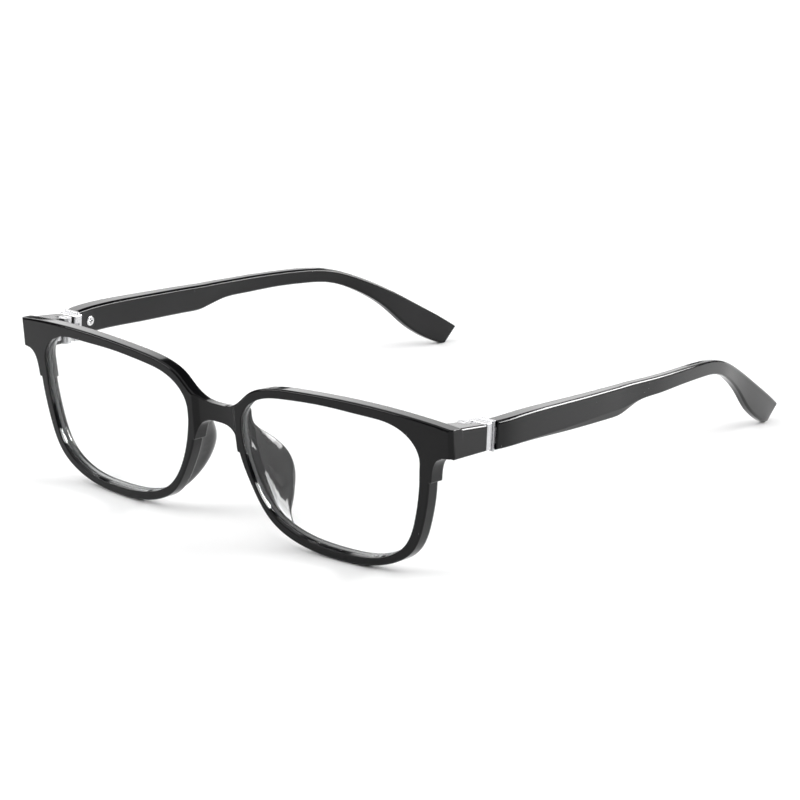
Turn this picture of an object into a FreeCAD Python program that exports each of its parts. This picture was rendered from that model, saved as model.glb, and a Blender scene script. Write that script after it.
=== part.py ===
import FreeCAD, Part
import math
import os

from FreeCAD import Placement, Rotation, Vector

# Eyeglasses frame in millimetres: X across the face, Y from the front to the temple tips, Z up.
# The shapes are drawn with y = 0 and z = 0 at the foot of the front face, and are moved forward by
# MIDDLE_Y and up by BASE_Z at the end: the origin lies under the middle of the frame, on the table.

# Whole frame
MIDDLE_Y = 75.36             # half way from the foremost point of the front to the temple tips
BASE_Z = 0.26                # the rims' rear lower edges lie this far below the front ones
FACE_RADIUS = 470.0          # wrap of the front, seen from above
LEAN = 0.079                 # the front leans forward by this much for each millimetre of height
UPPER_DEPTH = 4.1            # front to back, above the step in the rims
LOWER_DEPTH = 3.3            # front to back, below the step
SLAB_HALF_WIDTH = 76.0
SLAB_TOP = 46.0
DRAW_START = 20.0            # outlines are drawn this far in front of the frame
DRAW_LENGTH = 50.0
ON_FACE = 0.02               # a point this near to a face is taken to lie on it
OVERSHOOT = 1.0              # cutting shapes stand this far out of what they cut
JOIN = 0.3                   # shapes that are joined run into each other by this much

# Outlines of the right half of the front, as (x, z)
TOP_EDGE = [(0, 31.3), (4.0, 31.7), (7.6, 33.55), (11.2, 36.7), (16.0, 38.75), (25.0, 39.95), (38.0, 40.5),
            (54.0, 40.1), (68.1, 38.55)]
LUG_CORNER = (68.0, 31.6)
LUG_UNDER = (65.3, 31.35)
TEMPORAL_EDGE = [(65.3, 31.35), (63.5, 30.1), (62.5, 27.6), (62.1, 24.75)]
NASAL_EDGE = [(6.95, 21.05), (6.25, 23.3), (5.2, 25.4), (3.3, 26.6), (0, 26.9)]
LOWER_EDGE = [(61.75, 27.5), (61.2, 22.0), (59.6, 14.6), (55.9, 6.4), (47.5, 1.45), (36.0, 0.0),
              (25.0, 1.1), (15.9, 5.3), (10.4, 13.2), (8.0, 18.6), (7.1, 21.6), (6.7, 23.6)]
TOP_ROUND = 0.5              # along the front edge of the top bar
REAR_BEVEL = 0.6             # along the rear edge of the top bar
CORNER_BEVEL = 0.8           # along the upright front edges at the ends of the front
EDGE_BREAK = 0.25            # along the front edges of the lower rims
END_EDGES_X = 67.3           # edges beyond this are the upright ones at the ends of the front
TOP_EDGES_Z = 30.3           # edges above this, with their middles near x = 0, run along the top
TOP_EDGES_X = 10.0
BRIDGE_DISH = 1.3            # the middle of the bridge lies this far behind the rims
BRIDGE_DISH_EDGE = 1.0       # the same, where the dish starts to rise to the rims
BRIDGE_DISH_HALF_WIDTHS = (5.5, 6.8)

# Lens opening, as (x, z) on the front face, and the lens in its V groove
LENS_EDGE = [(59.4, 28.5), (57.8, 33.7), (53.0, 36.9), (45.0, 37.85), (34.0, 38.1), (22.5, 37.4),
             (13.8, 35.4), (9.2, 31.0), (8.7, 24.5), (11.2, 15.1), (16.2, 7.5), (24.0, 3.5), (36.0, 2.1),
             (47.2, 3.3), (54.2, 7.7), (57.5, 15.3), (58.9, 22.6)]
LENS_MIDDLE = (34.0, 20.0)
LENS_SAMPLES = 40
LENS_CLEARANCE = 0.05
LENS_THICKNESS = 1.8
LENS_RADIUS = 500.0
GROOVE_DEPTH = 0.6
GROOVE_HALF_WIDTH = 0.6
GROOVE_SETBACK = 2.15        # from the front face to the bottom of the groove
FLARE_START = 3.2            # behind this the opening widens towards the back
FLARE_END = 6.5
FLARE_GROW = 1.5
LENS_DISH = 0.64             # the lens's middle lies this far in front of its bevel
LENS_BAND = 1.2              # width of the lens's rim, outside its inner part
CUT_NEAR = -4.0              # cuts through the front start here, in front of its face
CUT_FAR = 12.0               # and end this far behind it
GROOVE_OVERLAP = 0.02        # the groove's sides run into the lens opening by this much

# Nose pads: level z, nasal edge of the rim x, rear edge (x, y), thickness at the rim and at the rear
PAD_SECTIONS = [(31.8, 6.8, 7.6, 1.5, 1.1, 0.8),
                (29.6, 6.6, 7.6, 2.5, 1.2, 0.9),
                (27.2, 6.4, 7.7, 3.3, 1.3, 0.9),
                (24.8, 6.3, 8.3, 5.9, 1.5, 0.9),
                (21.5, 7.4, 10.0, 9.4, 1.9, 1.1),
                (18.0, 8.7, 11.3, 11.5, 2.0, 1.2),
                (14.6, 10.2, 12.4, 11.8, 2.0, 1.2),
                (11.3, 11.9, 13.4, 10.6, 2.0, 1.2),
                (8.4, 13.7, 14.6, 8.6, 1.9, 1.1),
                (6.0, 15.9, 16.0, 6.3, 1.6, 0.9),
                (4.7, 17.4, 17.4, 5.3, 1.3, 0.8),
                (3.7, 19.0, 19.0, 4.3, 1.0, 0.7),
                (2.9, 20.6, 20.6, 3.3, 0.9, 0.6)]
PAD_ROOT = 3.0               # the pads start this far behind the front face, inside the rim
PAD_HOLLOW = 0.35            # the nose side is hollow by this much half way back
PAD_CROWN = 0.9              # thickness half way back, as a share of the mean of its ends
PAD_NEAR_TIP = 0.6           # the rear edge rounds off over this many tip thicknesses

# Hinge. Its own frame has u outward from the pin, v back along the temple and w up the pin
PIN_X = 63.3
PIN_Y = 12.4
PIN_Z = 33.8
PIN_TILT = 3.5               # degrees that the pin leans back, square to the temple
PIN_RADIUS = 0.65
PIN_CLEARANCE = 0.05
KNUCKLE_RADIUS = 1.6
SLIDER_HALF_HEIGHT = 1.1
KNUCKLE_GAP = 0.08
HINGE_HALF_HEIGHT = 3.2
HEAD_RADIUS = 1.0
HEAD_HEIGHT = 0.6
SLOT_WIDTH = 0.3
SLOT_DEPTH = 0.28

# Lug: the arm that carries the hinge behind each end of the front, cut back beside the hinge
LUG_INNER = -0.4
LUG_STEP = -1.85             # behind this the lug makes room for the knuckles
LUG_CHEEK = 1.75             # its inner side there
LUG_OUTER = 4.75
LUG_REAR = 2.5
LUG_TOP = 3.0                # at the rear end
LUG_BOTTOM = -3.3
LUG_ROOT_X = 59.6
LUG_FRONT_Y = 3.4
LUG_TOP_Z = 38.45
LUG_BOTTOM_Z = 31.2
LUG_WEB = [(59.9, 4.6), (62.1, 6.1), (62.9, 8.9)]    # curve from the rear of the front to the lug
LUG_ROUND = 0.8              # outer top edge
LUG_EDGE = 0.4               # outer bottom and rear edges

# Front leaf, let into the inner side of the lug
LEAF_OUTER = 0.6
LEAF_FRONT = -6.2
LEAF_HALF_HEIGHT = 2.3
LEAF_WINDOW = 0.15           # room round the slider's knuckle
LEAF_SCREW_V = -4.0
LEAF_SCREW_RADIUS = 0.5
LEAF_SCREW_HEAD_RADIUS = 0.95
LEAF_SCREW_HEAD_HEIGHT = 0.45
LEAF_SCREW_LENGTH = 3.4
LEAF_SLOT_DEPTH = 0.2

# Spring slider
NECK_HALF_WIDTH = 0.6
ARM_FRONT = 3.35
ARM_REAR = 4.2
ARM_HALF_HEIGHT = 1.0
ARM_OUTER = 4.3
ROD_U = 3.8
ROD_RADIUS = 0.4
ROD_END = 9.1
STOP_RADIUS = 0.75
STOP_FRONT = 8.6

# Coil spring
SPRING_WIRE = 0.26
SPRING_MEAN_RADIUS = 0.62
SPRING_FRONT = 4.8
SPRING_TURNS = 6
SPRING_GAP = 0.02            # at each end

# Hinge cap: a body and a flange that close the temple's end, and a tail inside the temple
CAP_FRONT = 2.65
CAP_INNER = -0.8
CAP_OUTER = 4.55
CAP_BOTTOM = -3.4
CAP_TOP = 3.2
CAP_ROUND = 0.3
FLANGE_FRONT = 4.7
FLANGE_REAR = 5.4
FLANGE_INNER = 0.4
FLANGE_OUTER = 4.85
FLANGE_BOTTOM = -3.8
FLANGE_TOP = 3.5
FLANGE_RIM = 0.18
TAIL_INNER = 2.6
TAIL_OUTER = 5.0
TAIL_REAR = 13.2
TAIL_HALF_HEIGHT = 1.9
CHAMBER_RADIUS = 0.85
CHAMBER_REAR = 9.4
WINDOW_FRONT = 5.8           # slot in the tail's outer side, through which the spring is fitted
ARM_CLEARANCE = 0.12

# Cap screw, with a cross recess, in the inner face of the temple
CAP_SCREW_V = 11.0
CAP_SCREW_RADIUS = 0.55
CAP_SCREW_HEAD_RADIUS = 1.25
CAP_SCREW_HEAD_FRONT = 1.85
CAP_SCREW_HEAD_ROUND = 0.2
CAP_SCREW_END = 4.6
CROSS_LENGTH = 1.5
CROSS_WIDTH = 0.34
CROSS_DEPTH = 0.4

# Temple: it starts at the flange
TEMPLE_FRONT = 5.6
TEMPLE_ROUND = 0.75          # outer top edge, drawn with ROUND_STEPS flats
ROUND_STEPS = 3
TEMPLE_INNER_BEVEL = 0.8     # inner top edge, across the top
TEMPLE_BEVEL_DROP = 0.48     # and down the inner face
TEMPLE_CROWN = 0.08          # the top falls by this much towards the inner edge
TEMPLE_BASE_BEVEL = 0.35     # inner bottom edge
TEMPLE_FACET_INSET = 0.4     # the outer face's lower facet leans in by this much
# Sections: middle y and z, height, pitch in degrees, outer face x, thickness near the top and at the
# base, height of the lower facet of the outer face
TEMPLE_SECTIONS = [(17.98, 33.4, 6.8, 3.5, 68.75, 4.1, 3.9, 0.3),
                   (21.0, 33.35, 6.85, 4.2, 69.4, 4.3, 4.0, 0.3),
                   (27.0, 33.1, 6.95, 5.2, 69.7, 4.3, 3.7, 0.35),
                   (45.0, 31.4, 7.2, 5.2, 69.35, 3.8, 2.6, 1.0),
                   (62.0, 29.75, 7.2, 5.2, 68.65, 3.4, 1.6, 1.7),
                   (66.0, 29.45, 7.0, 5.2, 68.4, 3.3, 1.5, 1.6),
                   (70.0, 29.65, 6.0, 5.2, 68.25, 3.2, 1.8, 0.9),
                   (74.0, 29.8, 4.9, 5.2, 68.15, 3.1, 2.2, 0.4),
                   (81.0, 29.35, 4.4, 5.2, 68.05, 3.0, 2.6, 0.3),
                   (93.0, 28.4, 4.0, 5.8, 67.1, 2.9, 2.6, 0.3),
                   (103.0, 27.3, 3.85, 8.5, 65.8, 2.8, 2.6, 0.3),
                   (110.3, 26.0, 3.6, 17.0, 64.6, 2.75, 2.6, 0.3),
                   (116.6, 23.8, 3.6, 26.0, 63.3, 2.7, 2.5, 0.3),
                   (123.6, 20.2, 4.0, 31.0, 61.2, 2.65, 2.5, 0.3),
                   (130.8, 15.5, 5.1, 31.0, 59.2, 2.6, 2.4, 0.4),
                   (137.7, 10.1, 6.9, 31.0, 57.7, 2.6, 2.4, 0.5),
                   (147.6, 3.73, 7.0, 31.0, 55.7, 2.6, 2.4, 0.5),
                   (151.0, 1.83, 6.5, 50.0, 54.8, 2.5, 2.3, 0.5)]


def face_y(x, z):
    """The front face: a cylinder that wraps round the head and leans forward."""
    return FACE_RADIUS - math.sqrt(FACE_RADIUS ** 2 - x ** 2) - LEAN * z


def face_slab(near, far):
    """The space between two copies of the front face, set back by near and by far."""
    w = SLAB_HALF_WIDTH
    corner_y = face_y(w, 0)
    a, b = Vector(-w, corner_y + near, 0), Vector(w, corner_y + near, 0)
    c, d = Vector(w, corner_y + far, 0), Vector(-w, corner_y + far, 0)
    edges = [Part.Arc(a, Vector(0, near, 0), b).toShape(),
             Part.LineSegment(b, c).toShape(),
             Part.Arc(c, Vector(0, far, 0), d).toShape(),
             Part.LineSegment(d, a).toShape()]
    face = Part.Face(Part.Wire(edges))
    face.translate(Vector(0, LEAN, -1))
    rise = SLAB_TOP + 1
    return face.extrude(Vector(0, -LEAN * rise, rise))


def spline(points, closed=False):
    curve = Part.BSplineCurve()
    curve.interpolate(Points=points, PeriodicFlag=closed)
    return curve


def flat(points, side=1):
    """Points (x, z) of the front face, carried square to it into an upright plane in front of the frame."""
    return [Vector(side * x, -DRAW_START, z + LEAN * (face_y(x, z) + DRAW_START)) for x, z in points]


def prism(edges):
    return Part.Face(Part.Wire(edges)).extrude(Vector(0, 1, -LEAN) * DRAW_LENGTH)


def mirrored(shape):
    return shape.mirror(Vector(0, 0, 0), Vector(1, 0, 0))


def box(u, v, w):
    """A box from pairs of limits."""
    corner = Vector(u[0], v[0], w[0])
    return Part.makeBox(u[1] - u[0], v[1] - v[0], w[1] - w[0], corner)


def rod(radius, start, direction, length):
    return Part.makeCylinder(radius, length, Vector(*start), Vector(*direction))


def in_hinge_frame(shape):
    """Move a shape drawn about the hinge pin to the right-hand hinge."""
    moved = shape.copy()
    moved.Placement = Placement(Vector(PIN_X, PIN_Y, PIN_Z), Rotation(Vector(1, 0, 0), -PIN_TILT)).multiply(
        moved.Placement)
    return moved


def hinge_point(u, v, w):
    rotation = Rotation(Vector(1, 0, 0), -PIN_TILT)
    return Vector(PIN_X, PIN_Y, PIN_Z) + rotation.multVec(Vector(u, v, w))


# ---- front ----

def upper_outline():
    """The top bar, bridge, lugs and upper rims, closed by a straight line at the step in each rim."""
    top = flat([(-x, z) for x, z in reversed(TOP_EDGE[1:])] + TOP_EDGE)
    arch = flat(NASAL_EDGE + [(-x, z) for x, z in reversed(NASAL_EDGE[:-1])])
    edges = [spline(top).toShape()]
    for side in (1, -1):
        corner, under = flat([LUG_CORNER, LUG_UNDER], side)
        temporal = flat(TEMPORAL_EDGE, side)
        tip = flat([TOP_EDGE[-1]], side)[0]
        nasal = flat([NASAL_EDGE[0]], side)[0]
        edges += [Part.LineSegment(tip, corner).toShape(),
                  Part.LineSegment(corner, under).toShape(),
                  spline(temporal).toShape(),
                  Part.LineSegment(temporal[-1], nasal).toShape()]
    edges.append(spline(arch).toShape())
    return Part.__sortEdges__(edges)


def lower_outline(side):
    points = flat(LOWER_EDGE, side)
    return [spline(points).toShape(), Part.LineSegment(points[-1], points[0]).toShape()]


def face_edges(shape, depth, wanted):
    """Edges that lie at a depth behind the front face and pass the test wanted at their middle."""
    chosen = []
    for edge in shape.Edges:
        first, last = edge.ParameterRange
        points = [edge.valueAt(first + (last - first) * t) for t in (0.1, 0.5, 0.9)]
        level = all(abs(p.y - depth - face_y(p.x, p.z)) < ON_FACE for p in points)
        if level and wanted(points[1]):
            chosen.append(edge)
    return chosen


def bridge_dish():
    """The space in front of the bridge: a shallow cylinder that follows the lean of the front."""
    narrow, wide = BRIDGE_DISH_HALF_WIDTHS
    left, right = Vector(-narrow, BRIDGE_DISH_EDGE, 0), Vector(narrow, BRIDGE_DISH_EDGE, 0)
    outline = [right, Vector(wide, 0, 0), Vector(wide, CUT_NEAR, 0), Vector(-wide, CUT_NEAR, 0),
               Vector(-wide, 0, 0), left]
    edges = [Part.Arc(left, Vector(0, BRIDGE_DISH, 0), right).toShape()]
    edges += [Part.LineSegment(a, b).toShape() for a, b in zip(outline, outline[1:])]
    return Part.Face(Part.Wire(edges)).extrude(Vector(0, -LEAN * SLAB_TOP, SLAB_TOP))


def lug_plan():
    """The lug seen from above: a web from the back of the front, a full part, a cheek by the hinge."""
    inner, cheek, outer = PIN_X + LUG_INNER, PIN_X + LUG_CHEEK, PIN_X + LUG_OUTER
    step_y, rear_y = PIN_Y + LUG_STEP, PIN_Y + LUG_REAR + 2 * OVERSHOOT
    web = [Vector(x, y, 0) for x, y in LUG_WEB]
    corners = [web[-1], Vector(inner, step_y, 0), Vector(cheek, step_y, 0), Vector(cheek, rear_y, 0),
               Vector(outer, rear_y, 0), Vector(outer, LUG_FRONT_Y, 0), Vector(LUG_ROOT_X, LUG_FRONT_Y, 0),
               web[0]]
    edges = [Part.LineSegment(a, b).toShape() for a, b in zip(corners, corners[1:])]
    edges.append(Part.Arc(*web).toShape())
    return Part.Face(Part.Wire(Part.__sortEdges__(edges))).extrude(Vector(0, 0, SLAB_TOP))


def outer_edges(arm, outer_x):
    return [e for e in arm.Edges if all(v.X > outer_x - ON_FACE for v in e.Vertexes)]


def lug_arm():
    """The right-hand arm, from the back of the front to the cap, square to the temple at its end."""
    top = hinge_point(0, LUG_REAR, LUG_TOP)
    bottom = hinge_point(0, LUG_REAR, LUG_BOTTOM)
    corners = [Vector(LUG_ROOT_X, y, z) for y, z in
               ((LUG_FRONT_Y, LUG_BOTTOM_Z), (bottom.y, bottom.z), (top.y, top.z), (LUG_FRONT_Y, LUG_TOP_Z))]
    outer_x = PIN_X + LUG_OUTER
    side = Part.Face(Part.makePolygon(corners + corners[:1])).extrude(Vector(outer_x - LUG_ROOT_X, 0, 0))
    arm = side.common(lug_plan()).Solids[0]
    middle_z = (LUG_TOP_Z + LUG_BOTTOM_Z) / 2
    upper = [e for e in outer_edges(arm, outer_x) if all(v.Z > middle_z for v in e.Vertexes)]
    arm = arm.makeFillet(LUG_ROUND, upper)
    lower = [e for e in outer_edges(arm, outer_x) if all(v.Z < middle_z for v in e.Vertexes)]
    return arm.makeFillet(LUG_EDGE, lower)


def leaf_pocket():
    half = LEAF_HALF_HEIGHT
    pocket = box((LUG_INNER - OVERSHOOT, LEAF_OUTER), (LEAF_FRONT, LUG_STEP + OVERSHOOT), (-half, half))
    return pocket.fuse(rod(LEAF_SCREW_RADIUS, (LUG_INNER, LEAF_SCREW_V, 0), (1, 0, 0), LEAF_SCREW_LENGTH))


def pad_section(level, rim_x, rear_x, rear_y, root, tip):
    """One level cut through a nose pad: a blade from the back of the rim, rounded at its rear edge."""
    front_y = face_y(rim_x, level) + PAD_ROOT
    along = Vector(rear_x - rim_x, rear_y - front_y, 0).normalize()
    across = Vector(along.y, -along.x, 0)
    start, end = Vector(rim_x, front_y, level), Vector(rear_x, rear_y, level)
    half_way = (start + end) * 0.5
    near_tip = end - along * tip * PAD_NEAR_TIP
    points = [start, half_way - across * PAD_HOLLOW, near_tip, end + across * tip * 0.5,
              near_tip + across * tip, half_way + across * (root + tip) * 0.5 * PAD_CROWN,
              start + across * root]
    return Part.Wire([spline(points).toShape(), Part.LineSegment(points[-1], points[0]).toShape()])


def nose_pad():
    wires = [pad_section(*section) for section in PAD_SECTIONS]
    return Part.makeLoft(wires, True, False)


def upper_part():
    """The top bar and bridge, with its edges bevelled and rounded."""
    def at_end(p):
        return abs(p.x) > END_EDGES_X

    def along_top(p):
        return p.z > TOP_EDGES_Z and abs(p.x) < TOP_EDGES_X

    shape = prism(upper_outline()).common(face_slab(0, UPPER_DEPTH)).Solids[0]
    shape = shape.makeChamfer(CORNER_BEVEL, face_edges(shape, 0, at_end))
    shape = shape.makeChamfer(REAR_BEVEL, face_edges(shape, UPPER_DEPTH, along_top))
    return shape.makeFillet(TOP_ROUND, face_edges(shape, 0, along_top))


def lower_rim(side):
    shape = prism(lower_outline(side)).common(face_slab(0, LOWER_DEPTH)).Solids[0]
    return shape.makeChamfer(EDGE_BREAK, face_edges(shape, 0, lambda p: p.z < LENS_MIDDLE[1]))


def front():
    shape = upper_part().fuse([lower_rim(1), lower_rim(-1)])
    shape = shape.cut(bridge_dish())
    arm = lug_arm()
    shape = shape.fuse([arm, mirrored(arm)])
    for side in (1, -1):
        shape = shape.cut(lens_space(side))
    pad = nose_pad()
    shape = shape.fuse([pad, mirrored(pad)])
    pocket = in_hinge_frame(leaf_pocket())
    return shape.cut([pocket, mirrored(pocket)]).removeSplitter()


# ---- lenses ----

def lens_axes():
    """The middle of the right lens on the front face, and the unit vector square to it, pointing back."""
    x, z = LENS_MIDDLE
    slope = x / FACE_RADIUS
    return Vector(x, face_y(x, z), z), Vector(-slope, 1, LEAN).normalize(), slope


def lens_wire(grow, setback):
    """The lens outline, moved outward by grow, in a plane set back from the front face."""
    middle, back, slope = lens_axes()
    base = spline([Vector(x, 0, z) for x, z in LENS_EDGE], True)
    first, last = base.FirstParameter, base.LastParameter
    points = []
    for i in range(LENS_SAMPLES):
        u = first + (last - first) * i / LENS_SAMPLES
        tangent = base.tangent(u)[0]
        p = base.value(u) + Vector(tangent.z, 0, -tangent.x) * grow
        y = middle.y + slope * (p.x - middle.x) - LEAN * (p.z - middle.z)
        points.append(Vector(p.x, y, p.z) + back * setback)
    return Part.Wire([spline(points, True).toShape()])


def lens_prism(grow, near, far):
    back = lens_axes()[1]
    return Part.Face(lens_wire(grow, near)).extrude(back * (far - near))


def bevel_ring(grow, reach, half_width):
    """A plate whose edge is a V: its apex stands reach outside its two faces."""
    front_cone = Part.makeLoft([lens_wire(grow, GROOVE_SETBACK - half_width),
                                lens_wire(grow + reach, GROOVE_SETBACK)], True, True)
    rear_cone = Part.makeLoft([lens_wire(grow + reach, GROOVE_SETBACK),
                               lens_wire(grow, GROOVE_SETBACK + half_width)], True, True)
    return front_cone.fuse(rear_cone)


def lens_space(side):
    opening = lens_prism(0, CUT_NEAR, CUT_FAR)
    groove = bevel_ring(-GROOVE_OVERLAP, GROOVE_DEPTH + GROOVE_OVERLAP, GROOVE_HALF_WIDTH)
    flare = Part.makeLoft([lens_wire(0, FLARE_START), lens_wire(FLARE_GROW, FLARE_END)], True, True)
    space = opening.fuse([groove, flare])
    return space if side > 0 else mirrored(space)


def lens():
    middle, back, _ = lens_axes()
    blank = lens_prism(-LENS_CLEARANCE, CUT_NEAR, CUT_FAR)
    apex = middle + back * (GROOVE_SETBACK - LENS_DISH - LENS_THICKNESS / 2)
    shell = Part.makeSphere(LENS_RADIUS, apex + back * LENS_RADIUS).cut(
        Part.makeSphere(LENS_RADIUS, apex + back * (LENS_RADIUS + LENS_THICKNESS)))
    disc = blank.common(shell)
    ring = bevel_ring(-LENS_CLEARANCE, GROOVE_DEPTH - LENS_CLEARANCE, GROOVE_HALF_WIDTH - 2 * LENS_CLEARANCE)
    ring = ring.cut(lens_prism(-LENS_BAND, CUT_NEAR, CUT_FAR))
    return disc.fuse(ring).removeSplitter()


# ---- hinge, drawn about its pin ----

def knuckle(low, high):
    return rod(KNUCKLE_RADIUS, (0, 0, low), (0, 0, 1), high - low)


def front_leaf():
    """A plate in the lug with an upper and a lower knuckle, and a gap for the slider's knuckle."""
    half, low = HINGE_HALF_HEIGHT, SLIDER_HALF_HEIGHT + KNUCKLE_GAP
    shape = box((LUG_INNER, LEAF_OUTER), (LEAF_FRONT, 0), (-LEAF_HALF_HEIGHT, LEAF_HALF_HEIGHT))
    shape = shape.fuse([knuckle(low, half), knuckle(-half, -low)])
    window = rod(KNUCKLE_RADIUS + LEAF_WINDOW, (0, 0, -low), (0, 0, 1), 2 * low)
    pin_hole = rod(PIN_RADIUS + PIN_CLEARANCE, (0, 0, -half - OVERSHOOT), (0, 0, 1), 2 * (half + OVERSHOOT))
    head_room = HEAD_HEIGHT + PIN_CLEARANCE
    head_hole = rod(HEAD_RADIUS + PIN_CLEARANCE, (0, 0, half - head_room), (0, 0, 1), head_room + OVERSHOOT)
    screw_start = (LUG_INNER - OVERSHOOT, LEAF_SCREW_V, 0)
    screw_hole = rod(LEAF_SCREW_RADIUS, screw_start, (1, 0, 0), LEAF_OUTER - LUG_INNER + 2 * OVERSHOOT)
    head_seat = rod(LEAF_SCREW_HEAD_RADIUS, screw_start, (1, 0, 0), LEAF_SCREW_HEAD_HEIGHT + OVERSHOOT)
    return shape.cut([window, pin_hole, head_hole, screw_hole, head_seat]).removeSplitter()


def leaf_screw():
    """Slotted screw that holds the leaf to the lug, head flush with the leaf."""
    head = rod(LEAF_SCREW_HEAD_RADIUS, (LUG_INNER, LEAF_SCREW_V, 0), (1, 0, 0), LEAF_SCREW_HEAD_HEIGHT)
    shank = rod(LEAF_SCREW_RADIUS, (LUG_INNER, LEAF_SCREW_V, 0), (1, 0, 0), LEAF_SCREW_LENGTH)
    half, reach = SLOT_WIDTH / 2, LEAF_SCREW_HEAD_RADIUS + OVERSHOOT
    slot = box((LUG_INNER - OVERSHOOT, LUG_INNER + LEAF_SLOT_DEPTH),
               (LEAF_SCREW_V - reach, LEAF_SCREW_V + reach), (-half, half))
    return head.fuse(shank).cut(slot).removeSplitter()


def hinge_screw():
    """The pin of the hinge, a slotted screw dropped in from above."""
    half = HINGE_HALF_HEIGHT
    shank = rod(PIN_RADIUS, (0, 0, -half), (0, 0, 1), 2 * half)
    head = rod(HEAD_RADIUS, (0, 0, half - HEAD_HEIGHT), (0, 0, 1), HEAD_HEIGHT)
    reach = HEAD_RADIUS + OVERSHOOT
    slot = box((-reach, reach), (-SLOT_WIDTH / 2, SLOT_WIDTH / 2), (half - SLOT_DEPTH, half + OVERSHOOT))
    return shank.fuse(head).cut(slot).removeSplitter()


def spring_slider():
    """The temple's knuckle with a neck, a cross arm in the cap and the rod that carries the spring."""
    h = ARM_HALF_HEIGHT
    barrel = knuckle(-SLIDER_HALF_HEIGHT, SLIDER_HALF_HEIGHT)
    neck = box((-NECK_HALF_WIDTH, NECK_HALF_WIDTH), (0, ARM_REAR), (-h, h))
    arm = box((-NECK_HALF_WIDTH, ARM_OUTER), (ARM_FRONT, ARM_REAR), (-h, h))
    stem = rod(ROD_RADIUS, (ROD_U, ARM_REAR - JOIN, 0), (0, 1, 0), ROD_END - ARM_REAR + JOIN)
    low = -SLIDER_HALF_HEIGHT - OVERSHOOT
    hole = rod(PIN_RADIUS + PIN_CLEARANCE, (0, 0, low), (0, 0, 1), -2 * low)
    return barrel.fuse([neck, arm, stem]).cut(hole).removeSplitter()


def spring_stop():
    """The collar at the end of the rod that the spring pushes on."""
    disc = rod(STOP_RADIUS, (ROD_U, STOP_FRONT, 0), (0, 1, 0), ROD_END - STOP_FRONT)
    return disc.cut(rod(ROD_RADIUS, (ROD_U, ARM_REAR, 0), (0, 1, 0), ROD_END + OVERSHOOT - ARM_REAR))


def coil_spring():
    """Compression spring round the rod, between the cap's front wall and the collar."""
    length = STOP_FRONT - SPRING_FRONT - SPRING_WIRE - 2 * SPRING_GAP
    helix = Part.makeHelix(length / SPRING_TURNS, length, SPRING_MEAN_RADIUS)
    wire = Part.Wire(helix.Edges)
    middle = Vector(SPRING_MEAN_RADIUS, 0, 0)
    section = Part.Wire([Part.makeCircle(SPRING_WIRE / 2, middle, Vector(0, 1, 0))])
    coil = wire.makePipeShell([section], True, True)
    coil.Placement = Placement(Vector(ROD_U, SPRING_FRONT + SPRING_WIRE / 2 + SPRING_GAP, 0),
                               Rotation(Vector(1, 0, 0), -90))
    return coil


def hinge_cap():
    """Metal end of the temple: body, flange and tail, hollowed for the slider and its spring."""
    body = box((CAP_INNER, CAP_OUTER), (CAP_FRONT, FLANGE_FRONT + JOIN), (CAP_BOTTOM, CAP_TOP))
    edges = [e for e in body.Edges if any(v.Y < CAP_FRONT + ON_FACE for v in e.Vertexes)]
    body = body.makeFillet(CAP_ROUND, edges)
    flange = box((FLANGE_INNER, FLANGE_OUTER), (FLANGE_FRONT, FLANGE_REAR), (FLANGE_BOTTOM, FLANGE_TOP))
    rim = [e for e in flange.Edges if all(v.Y < FLANGE_FRONT + ON_FACE for v in e.Vertexes)]
    flange = flange.makeFillet(FLANGE_RIM, rim)
    half = TAIL_HALF_HEIGHT
    tail = box((TAIL_INNER, TAIL_OUTER), (FLANGE_REAR - JOIN, TAIL_REAR), (-half, half))
    h = ARM_HALF_HEIGHT + ARM_CLEARANCE
    slot = box((CAP_INNER - OVERSHOOT, ARM_OUTER + ARM_CLEARANCE),
               (CAP_FRONT - OVERSHOOT, ARM_REAR + ARM_CLEARANCE), (-h, h))
    hole_length = SPRING_FRONT + JOIN - ARM_REAR
    rod_hole = rod(ROD_RADIUS + PIN_CLEARANCE, (ROD_U, ARM_REAR, 0), (0, 1, 0), hole_length)
    chamber = rod(CHAMBER_RADIUS, (ROD_U, SPRING_FRONT, 0), (0, 1, 0), CHAMBER_REAR - SPRING_FRONT)
    window = box((ROD_U, TAIL_OUTER + OVERSHOOT), (WINDOW_FRONT, CHAMBER_REAR),
                 (-CHAMBER_RADIUS, CHAMBER_RADIUS))
    screw_hole = rod(CAP_SCREW_RADIUS, (0, CAP_SCREW_V, 0), (1, 0, 0), CAP_SCREW_END)
    return body.fuse([flange, tail]).cut([slot, rod_hole, chamber, window, screw_hole]).removeSplitter()


def cap_screw():
    """Cross-recessed screw through the temple's inner wall into the cap's tail."""
    head = rod(CAP_SCREW_HEAD_RADIUS, (CAP_SCREW_HEAD_FRONT, CAP_SCREW_V, 0), (1, 0, 0),
               TAIL_INNER - CAP_SCREW_HEAD_FRONT)
    rim = [e for e in head.Edges if e.BoundBox.XMax < CAP_SCREW_HEAD_FRONT + ON_FACE]
    head = head.makeFillet(CAP_SCREW_HEAD_ROUND, rim)
    shank_start = TAIL_INNER - JOIN
    shank = rod(CAP_SCREW_RADIUS, (shank_start, CAP_SCREW_V, 0), (1, 0, 0), CAP_SCREW_END - shank_start)
    deep = (CAP_SCREW_HEAD_FRONT - OVERSHOOT, CAP_SCREW_HEAD_FRONT + CROSS_DEPTH)
    long_way, short_way = CROSS_LENGTH / 2, CROSS_WIDTH / 2
    cross = [box(deep, (CAP_SCREW_V - long_way, CAP_SCREW_V + long_way), (-short_way, short_way)),
             box(deep, (CAP_SCREW_V - short_way, CAP_SCREW_V + short_way), (-long_way, long_way))]
    return head.fuse(shank).cut(cross).removeSplitter()


# ---- temple ----

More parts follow.
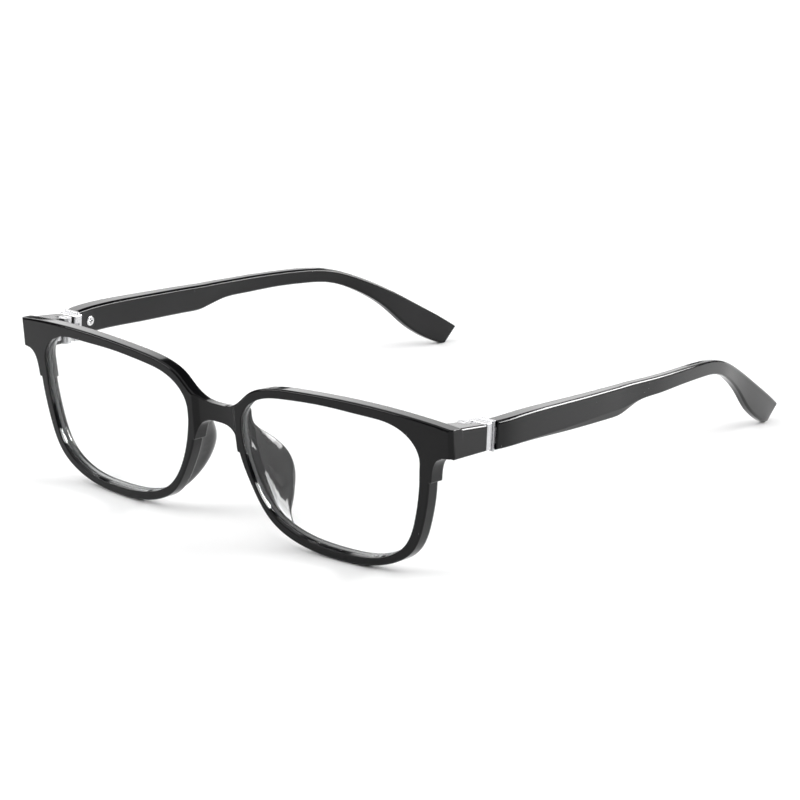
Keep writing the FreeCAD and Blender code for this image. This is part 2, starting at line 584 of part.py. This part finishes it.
def temple_section(y, z, height, pitch, outer_x, thickness, base, facet):
    """Corners of a cut across the temple, in a plane that leans back by the pitch."""
    lean = math.radians(pitch)
    up = Vector(0, math.sin(lean), math.cos(lean))
    half = height / 2
    turns = [math.radians(90 * i / ROUND_STEPS) for i in range(ROUND_STEPS + 1)]
    loop = [(TEMPLE_ROUND * (1 - math.cos(t)), half - TEMPLE_ROUND * (1 - math.sin(t))) for t in turns]
    loop += [(thickness - TEMPLE_INNER_BEVEL, half - TEMPLE_CROWN),
             (thickness, half - TEMPLE_BEVEL_DROP),
             (base, TEMPLE_BASE_BEVEL - half), (base - TEMPLE_BASE_BEVEL, -half),
             (TEMPLE_FACET_INSET, -half), (0, facet - half)]
    return [Vector(outer_x - inward, y, z) + up * rise for inward, rise in loop]


def skin(loops):
    """A solid with one smooth face between each pair of neighbouring corners of the loops."""
    stations = [0.0]
    for near, far in zip(loops, loops[1:]):
        stations.append(stations[-1] + near[0].distanceToPoint(far[0]))
    rails = []
    for corner in range(len(loops[0])):
        rail = Part.BSplineCurve()
        rail.interpolate(Points=[loop[corner] for loop in loops], Parameters=stations)
        rails.append(rail.toShape())
    faces = [Part.makeRuledSurface(a, b) for a, b in zip(rails, rails[1:] + rails[:1])]
    faces += [Part.Face(Part.makePolygon(loop + loop[:1])) for loop in (loops[0], loops[-1])]
    shell = Part.makeShell(faces)
    shell.sewShape()
    solid = Part.makeSolid(shell)
    if solid.Volume < 0:
        solid.reverse()
    return solid


def temple():
    arm = skin([temple_section(*section) for section in TEMPLE_SECTIONS])
    half = TAIL_HALF_HEIGHT
    pocket = box((TAIL_INNER, TAIL_OUTER), (TEMPLE_FRONT - OVERSHOOT, TAIL_REAR), (-half, half))
    head_seat = rod(CAP_SCREW_HEAD_RADIUS, (0, CAP_SCREW_V, 0), (1, 0, 0), TAIL_INNER)
    return arm.cut([in_hinge_frame(pocket), in_hinge_frame(head_seat)])


# ---- the whole frame ----

def save(name, shape):
    solid = shape.Solids[0].copy()
    solid.translate(Vector(0, -MIDDLE_Y, BASE_Z))
    solid.exportStep(os.path.join("parts", name + ".step"))


def main():
    os.makedirs("parts", exist_ok=True)
    save("front", front())
    hinge_parts = {"front_leaf": front_leaf, "leaf_screw": leaf_screw, "hinge_screw": hinge_screw,
                   "spring_slider": spring_slider, "spring_stop": spring_stop, "coil_spring": coil_spring,
                   "hinge_cap": hinge_cap, "cap_screw": cap_screw}
    one_side = {name: in_hinge_frame(make()) for name, make in hinge_parts.items()}
    one_side["lens"] = lens()
    one_side["temple"] = temple()
    for name, shape in one_side.items():
        save(name + "_left", shape)
        save(name + "_right", mirrored(shape))


main()
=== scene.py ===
import math

import bpy
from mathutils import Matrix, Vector


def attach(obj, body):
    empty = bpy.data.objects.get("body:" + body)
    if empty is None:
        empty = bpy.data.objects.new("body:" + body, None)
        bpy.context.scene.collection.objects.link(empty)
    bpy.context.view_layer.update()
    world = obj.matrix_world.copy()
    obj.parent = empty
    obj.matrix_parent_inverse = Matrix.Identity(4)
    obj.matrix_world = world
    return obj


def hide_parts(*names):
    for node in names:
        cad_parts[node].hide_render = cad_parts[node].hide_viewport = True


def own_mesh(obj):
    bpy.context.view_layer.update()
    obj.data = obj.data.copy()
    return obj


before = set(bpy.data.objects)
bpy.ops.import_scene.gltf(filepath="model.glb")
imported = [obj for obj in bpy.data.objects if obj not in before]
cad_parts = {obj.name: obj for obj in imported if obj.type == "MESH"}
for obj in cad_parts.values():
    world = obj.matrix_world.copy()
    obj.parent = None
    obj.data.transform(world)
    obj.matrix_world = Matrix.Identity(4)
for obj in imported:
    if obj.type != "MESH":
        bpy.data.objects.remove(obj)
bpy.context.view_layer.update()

# Camera: it looks down at the front from the wearer's left, with a long lens
CAMERA_AZIMUTH = 39.71
CAMERA_ELEVATION = 18.29
CAMERA_DISTANCE = 0.8296
CAMERA_TARGET = Vector((0.02925, -0.04445, 0.03057))
CAMERA_LENS = 158.2

# Studio: a white table in a dark room, lit by softboxes. Each has a place, a size and a radiance
FLOOR_SIZE = 6.0
FLOOR_COLOUR = (0.93, 0.93, 0.93)
FLOOR_MOTTLE = 0.01          # how much lighter its light patches are
WORLD_COLOUR = (0.05, 0.05, 0.05, 1.0)
AIM = Vector((0.0, 0.0, 0.02))
SOFTBOXES = {"overhead": ((0.0, 0.0, 1.0), (1.7, 1.7), 1.3),
             "backdrop": ((-0.74, 0.90, 0.36), (1.5, 0.5), 2.15),
             "right_strip": ((0.66, 0.84, 0.40), (1.0, 0.17), 24.0),
             "left_strip": ((-0.72, -0.78, 0.60), (0.9, 0.17), 17.0)}

# Seen only in reflections, to draw the bright lines along the rounded edges
EDGE_LIGHTS = {"right_edge": ((0.62, 0.78, 0.62), (1.1, 0.28), 40.0),
               "left_edge": ((-0.72, -0.78, 0.60), (0.9, 0.17), 30.0)}

# Patterns on the surfaces, in repeats per metre
POLISH_CLOUDS = 60
POLISH_SWIRLS = 2600
DUST_CELLS = 1100
DUST_MOTTLE = 900
METAL_PATCHES = 250
METAL_GRAIN = 9000
LENS_FILM = 35
GROUND_GRAIN = 5000
PAPER_GRAIN = 40
NOISE_RANGE = (0.3, 0.7)     # where nearly all of a noise pattern's values lie

# Black plastic
BLACK_TONES = ((0.002, 0.002, 0.0024), (0.004, 0.004, 0.0045))
BLACK_SPECULAR = 0.19
CLOUD_RANGE = (0.35, 0.7)
CLOUD_ROUGHNESS = (0.05, 0.10)
EDGE_ROUNDING = 0.00045      # metres
SWIRL_SCALE = (1.0, 0.35, 2.2)
SWIRL_STRENGTH = 0.012
SWIRL_DEPTH = 0.00002
DUST_TONES = ((0.25, 0.25, 0.26), (0.45, 0.45, 0.46))
DUST_SHARE = 0.05            # share of the dust cells that hold a speck
DUST_PICK_STEP = 0.01
DUST_EDGE = (0.10, 0.05)     # a speck's faint rim and its solid middle, in cell widths from its centre

# Metals: darkest and lightest tone, roughness, and the scale of the surface's lines along x, y and z
METALS = {"satin_silver": ((0.40, 0.40, 0.41), (0.45, 0.45, 0.46), 0.27, (1.0, 1.0, 0.08)),
          "turned_steel": ((0.42, 0.42, 0.43), (0.55, 0.55, 0.55), 0.22, (1.0, 0.3, 1.0)),
          "machined_steel": ((0.36, 0.36, 0.37), (0.46, 0.46, 0.47), 0.30, (0.2, 1.0, 1.0)),
          "spring_wire": ((0.36, 0.36, 0.37), (0.46, 0.46, 0.47), 0.25, (1.0, 0.2, 1.0))}
GRAIN_SMOOTHER, GRAIN_ROUGHER = 0.85, 1.2    # a metal's roughness varies by these factors
GRAIN_STRENGTH = 0.02
GRAIN_DEPTH = 0.00001

# Lens
FILM_TONES = ((0.975, 0.985, 0.985), (1.0, 1.0, 1.0))
FILM_RANGE = (0.4, 0.8)
FILM_ROUGHNESS = (0.01, 0.04)
LENS_RETURN = 0.04           # share of light that a face returns straight on
GRAZING_POWER = 5.0          # how sharply that grows towards grazing angles
GROUND_TONES = ((0.05, 0.055, 0.055), (0.11, 0.115, 0.115))
FACE_FADE = (0.88, 0.82)     # how far normals point to the front or back, from the faces to the bevel
EDGE_FADE = (0.45, 0.50)     # and from the outer edge to the bevel

# Nodes of black plastic, and the material of each other part, which has a node on either side
BLACK_NODES = ("front", "temple_left", "temple_right")
SIDES = ("left", "right")
PART_MATERIALS = {"lens": "lens_clear", "hinge_cap": "satin_silver", "front_leaf": "machined_steel",
                  "spring_slider": "machined_steel", "spring_stop": "machined_steel",
                  "leaf_screw": "turned_steel", "hinge_screw": "turned_steel",
                  "cap_screw": "turned_steel"}

# The colour sockets of a mix node
MIX_FACTOR, MIX_A, MIX_B, MIX_RESULT = 0, 6, 7, 2


class Nodes:
    """Short names for adding and joining the shader nodes of one material."""

    def __init__(self, name):
        self.material = bpy.data.materials.new(name)
        self.material.use_nodes = True
        self.tree = self.material.node_tree
        self.tree.nodes.clear()

    def add(self, kind, **settings):
        """A new node. A setting is one of its properties, or else an input's value, _ for a space."""
        node = self.tree.nodes.new(kind)
        for key, value in settings.items():
            if hasattr(node, key):
                setattr(node, key, value)
            else:
                node.inputs[key.replace("_", " ")].default_value = value
        return node

    def join(self, source, target):
        self.tree.links.new(source, target)

    def place(self):
        """Position on the object, in metres."""
        return self.add("ShaderNodeTexCoord").outputs["Object"]

    def noise(self, vector, scale, detail=3.0, roughness=0.5):
        node = self.add("ShaderNodeTexNoise", Scale=scale, Detail=detail, Roughness=roughness)
        self.join(vector, node.inputs["Vector"])
        return node.outputs["Fac"]

    def ramp(self, factor, low, high, colour_low, colour_high):
        """Colour that runs from colour_low at low to colour_high at high."""
        node = self.add("ShaderNodeValToRGB")
        first, last = node.color_ramp.elements
        first.position, first.color = low, (*colour_low, 1)
        last.position, last.color = high, (*colour_high, 1)
        self.join(factor, node.inputs["Fac"])
        return node.outputs["Color"]

    def span(self, factor, low, high, start=0.0, end=1.0):
        """A number that runs from start to end while factor runs from low to high."""
        node = self.add("ShaderNodeMapRange")
        node.inputs["From Min"].default_value = low
        node.inputs["From Max"].default_value = high
        node.inputs["To Min"].default_value = start
        node.inputs["To Max"].default_value = end
        self.join(factor, node.inputs["Value"])
        return node.outputs["Result"]

    def stretched(self, vector, scale):
        """vector times scale: a pattern on it is drawn out along an axis where scale is below 1."""
        node = self.add("ShaderNodeMapping")
        node.inputs["Scale"].default_value = scale
        self.join(vector, node.inputs["Vector"])
        return node.outputs["Vector"]

    def mix(self, factor, a, b):
        """Colour a where factor is 0 and colour b where it is 1."""
        node = self.add("ShaderNodeMix", data_type="RGBA")
        self.join(factor, node.inputs[MIX_FACTOR])
        self.join(a, node.inputs[MIX_A])
        self.join(b, node.inputs[MIX_B])
        return node.outputs[MIX_RESULT]

    def combine(self, a, b, operation="ADD"):
        node = self.add("ShaderNodeMath", operation=operation)
        self.join(a, node.inputs[0])
        self.join(b, node.inputs[1])
        return node.outputs[0]

    def bump(self, height, strength, distance):
        node = self.add("ShaderNodeBump", Strength=strength, Distance=distance)
        self.join(height, node.inputs["Height"])
        return node

    def rounded(self, radius):
        """Normals of a surface whose sharp edges are rounded by radius."""
        return self.add("ShaderNodeBevel", samples=16, Radius=radius).outputs["Normal"]

    def output(self, shader):
        node = self.add("ShaderNodeOutputMaterial")
        self.join(shader, node.inputs["Surface"])
        return self.material


def dust(n, place, cells_per_metre, share):
    """1 on tiny round specks, 0 elsewhere. share is the part of the cells that hold a speck."""
    cells = n.add("ShaderNodeTexVoronoi", Scale=cells_per_metre)
    n.join(place, cells.inputs["Vector"])
    speck = n.span(cells.outputs["Distance"], *DUST_EDGE)
    split = n.add("ShaderNodeSeparateColor")
    n.join(cells.outputs["Color"], split.inputs["Color"])
    chosen = n.span(split.outputs[0], 1 - share, 1 - share + DUST_PICK_STEP)
    return n.combine(speck, chosen, "MULTIPLY")


def black_plastic(name):
    """Polished black acetate: deep gloss with faint swirls left by polishing, and a little dust."""
    n = Nodes(name)
    place = n.place()
    cloudy = n.noise(place, POLISH_CLOUDS, detail=4)
    fine = n.noise(place, DUST_MOTTLE, detail=2)
    specked = dust(n, place, DUST_CELLS, DUST_SHARE)
    black = n.ramp(cloudy, *NOISE_RANGE, *BLACK_TONES)
    grey = n.ramp(fine, 0.0, 1.0, *DUST_TONES)
    swirls = n.noise(n.stretched(place, SWIRL_SCALE), POLISH_SWIRLS, detail=2)
    gloss = n.span(cloudy, *CLOUD_RANGE, *CLOUD_ROUGHNESS)
    shader = n.add("ShaderNodeBsdfPrincipled", IOR=1.5, Specular_IOR_Level=BLACK_SPECULAR)
    n.join(n.mix(specked, black, grey), shader.inputs["Base Color"])
    n.join(n.combine(gloss, specked), shader.inputs["Roughness"])
    relief = n.bump(swirls, SWIRL_STRENGTH, SWIRL_DEPTH)
    n.join(n.rounded(EDGE_ROUNDING), relief.inputs["Normal"])
    n.join(relief.outputs["Normal"], shader.inputs["Normal"])
    return n.output(shader.outputs["BSDF"])


def metal(name, dark, light, rough, grain):
    """Metal with fine lines in its surface. grain is their scale along x, y and z."""
    n = Nodes(name)
    place = n.place()
    lines = n.noise(n.stretched(place, grain), METAL_GRAIN, detail=2)
    patches = n.noise(place, METAL_PATCHES, detail=2)
    finish = n.span(lines, *NOISE_RANGE, rough * GRAIN_SMOOTHER, rough * GRAIN_ROUGHER)
    shader = n.add("ShaderNodeBsdfPrincipled", Metallic=1.0)
    n.join(n.ramp(patches, *NOISE_RANGE, dark, light), shader.inputs["Base Color"])
    n.join(finish, shader.inputs["Roughness"])
    n.join(n.bump(lines, GRAIN_STRENGTH, GRAIN_DEPTH).outputs["Normal"], shader.inputs["Normal"])
    return n.output(shader.outputs["BSDF"])


def ground_edge(n, place):
    """The matte grey left by the grinding wheel on the lens's bevel, and 1 where the bevel is."""
    matte = n.add("ShaderNodeBsdfPrincipled", Roughness=0.4)
    grain = n.noise(place, GROUND_GRAIN, detail=2)
    n.join(n.ramp(grain, *NOISE_RANGE, *GROUND_TONES), matte.inputs["Base Color"])
    split = n.add("ShaderNodeSeparateXYZ")
    n.join(n.add("ShaderNodeTexCoord").outputs["Normal"], split.inputs["Vector"])
    facing = n.add("ShaderNodeMath", operation="ABSOLUTE")
    n.join(split.outputs["Y"], facing.inputs[0])
    off_face = n.span(facing.outputs[0], *FACE_FADE)
    off_edge = n.span(facing.outputs[0], *EDGE_FADE)
    sloping = n.combine(off_face, off_edge, "MULTIPLY")
    return matte.outputs["BSDF"], sloping


def clear_lens(name):
    """Colourless lens: lets light straight through, with gloss that grows towards grazing angles."""
    n = Nodes(name)
    place = n.place()
    film = n.noise(place, LENS_FILM)
    clear = n.add("ShaderNodeBsdfTransparent")
    gloss = n.add("ShaderNodeBsdfAnisotropic")
    n.join(n.ramp(film, *NOISE_RANGE, *FILM_TONES), clear.inputs["Color"])
    n.join(n.span(film, *FILM_RANGE, *FILM_ROUGHNESS), gloss.inputs["Roughness"])
    turned = n.add("ShaderNodeLayerWeight", Blend=0.5).outputs["Facing"]
    grazing = n.add("ShaderNodeMath", operation="POWER")
    grazing.inputs[1].default_value = GRAZING_POWER
    n.join(turned, grazing.inputs[0])
    both = n.add("ShaderNodeMixShader")
    n.join(n.span(grazing.outputs[0], 0.0, 1.0, LENS_RETURN, 1.0), both.inputs[0])
    n.join(clear.outputs["BSDF"], both.inputs[1])
    n.join(gloss.outputs["BSDF"], both.inputs[2])
    matte, on_bevel = ground_edge(n, place)
    whole = n.add("ShaderNodeMixShader")
    n.join(on_bevel, whole.inputs[0])
    n.join(both.outputs["Shader"], whole.inputs[1])
    n.join(matte, whole.inputs[2])
    return n.output(whole.outputs["Shader"])


def paper_floor(name):
    """Matt white paper, very faintly mottled."""
    n = Nodes(name)
    grain = n.noise(n.place(), PAPER_GRAIN)
    shader = n.add("ShaderNodeBsdfPrincipled", Roughness=0.7)
    light = tuple(c + FLOOR_MOTTLE for c in FLOOR_COLOUR)
    n.join(n.ramp(grain, *NOISE_RANGE, FLOOR_COLOUR, light), shader.inputs["Base Color"])
    return n.output(shader.outputs["BSDF"])


def dress(node, material):
    """Give a CAD node's own material slots one material."""
    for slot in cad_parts[node].material_slots:
        slot.material = material


def live_spring(side, material):
    """A copy of a coil spring, carried on its slider's body in place of the original."""
    node, joint = f"coil_spring_{side}", f"spring_slide_{side}"
    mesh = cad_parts[node].data.copy()
    mesh.materials.clear()
    mesh.materials.append(material)
    spring = bpy.data.objects.new(f"live_spring_{side}", mesh)
    bpy.context.collection.objects.link(spring)
    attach(spring, f"slider_{side}")
    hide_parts(node)
    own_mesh(spring)


def dress_frame():
    materials = {"polished_black": black_plastic("polished_black"),
                 "lens_clear": clear_lens("lens_clear")}
    for name, look in METALS.items():
        materials[name] = metal(name, *look)
    for node in BLACK_NODES:
        dress(node, materials["polished_black"])
    for side in SIDES:
        for part, name in PART_MATERIALS.items():
            dress(f"{part}_{side}", materials[name])
        live_spring(side, materials["spring_wire"])


def floor():
    half = FLOOR_SIZE / 2
    corners = [(-half, -half, 0), (half, -half, 0), (half, half, 0), (-half, half, 0)]
    mesh = bpy.data.meshes.new("floor")
    mesh.from_pydata(corners, [], [(0, 1, 2, 3)])
    plane = bpy.data.objects.new("floor", mesh)
    bpy.context.collection.objects.link(plane)
    mesh.materials.append(paper_floor("paper_floor"))


def softbox(name, place, size, radiance, edges_only=False):
    """A rectangular light that faces the object. An edges_only one is seen only in reflections."""
    lamp = bpy.data.lights.new(name, "AREA")
    lamp.shape = "RECTANGLE"
    lamp.size, lamp.size_y = size
    lamp.energy = math.pi * size[0] * size[1] * radiance
    box = bpy.data.objects.new(name, lamp)
    bpy.context.collection.objects.link(box)
    box.location = place
    box.rotation_euler = (AIM - Vector(place)).to_track_quat("-Z", "Y").to_euler()
    box.visible_diffuse = not edges_only


def studio():
    floor()
    world = bpy.data.worlds.new("dark_room")
    world.use_nodes = True
    world.node_tree.nodes["Background"].inputs["Color"].default_value = WORLD_COLOUR
    bpy.context.scene.world = world
    for name, (place, size, radiance) in SOFTBOXES.items():
        softbox(name, place, size, radiance)
    for name, (place, size, radiance) in EDGE_LIGHTS.items():
        softbox(name, place, size, radiance, edges_only=True)


def camera():
    around, up = math.radians(CAMERA_AZIMUTH), math.radians(CAMERA_ELEVATION)
    back = Vector((math.sin(around) * math.cos(up), -math.cos(around) * math.cos(up), math.sin(up)))
    data = bpy.data.cameras.new("camera")
    data.lens = CAMERA_LENS
    data.clip_start = 0.01
    data.clip_end = 20.0
    cam = bpy.data.objects.new("camera", data)
    bpy.context.collection.objects.link(cam)
    cam.location = CAMERA_TARGET + back * CAMERA_DISTANCE
    cam.rotation_euler = (-back).to_track_quat("-Z", "Y").to_euler()
    bpy.context.scene.camera = cam


dress_frame()
studio()
camera()
bpy.context.scene.view_settings.view_transform = "Standard"
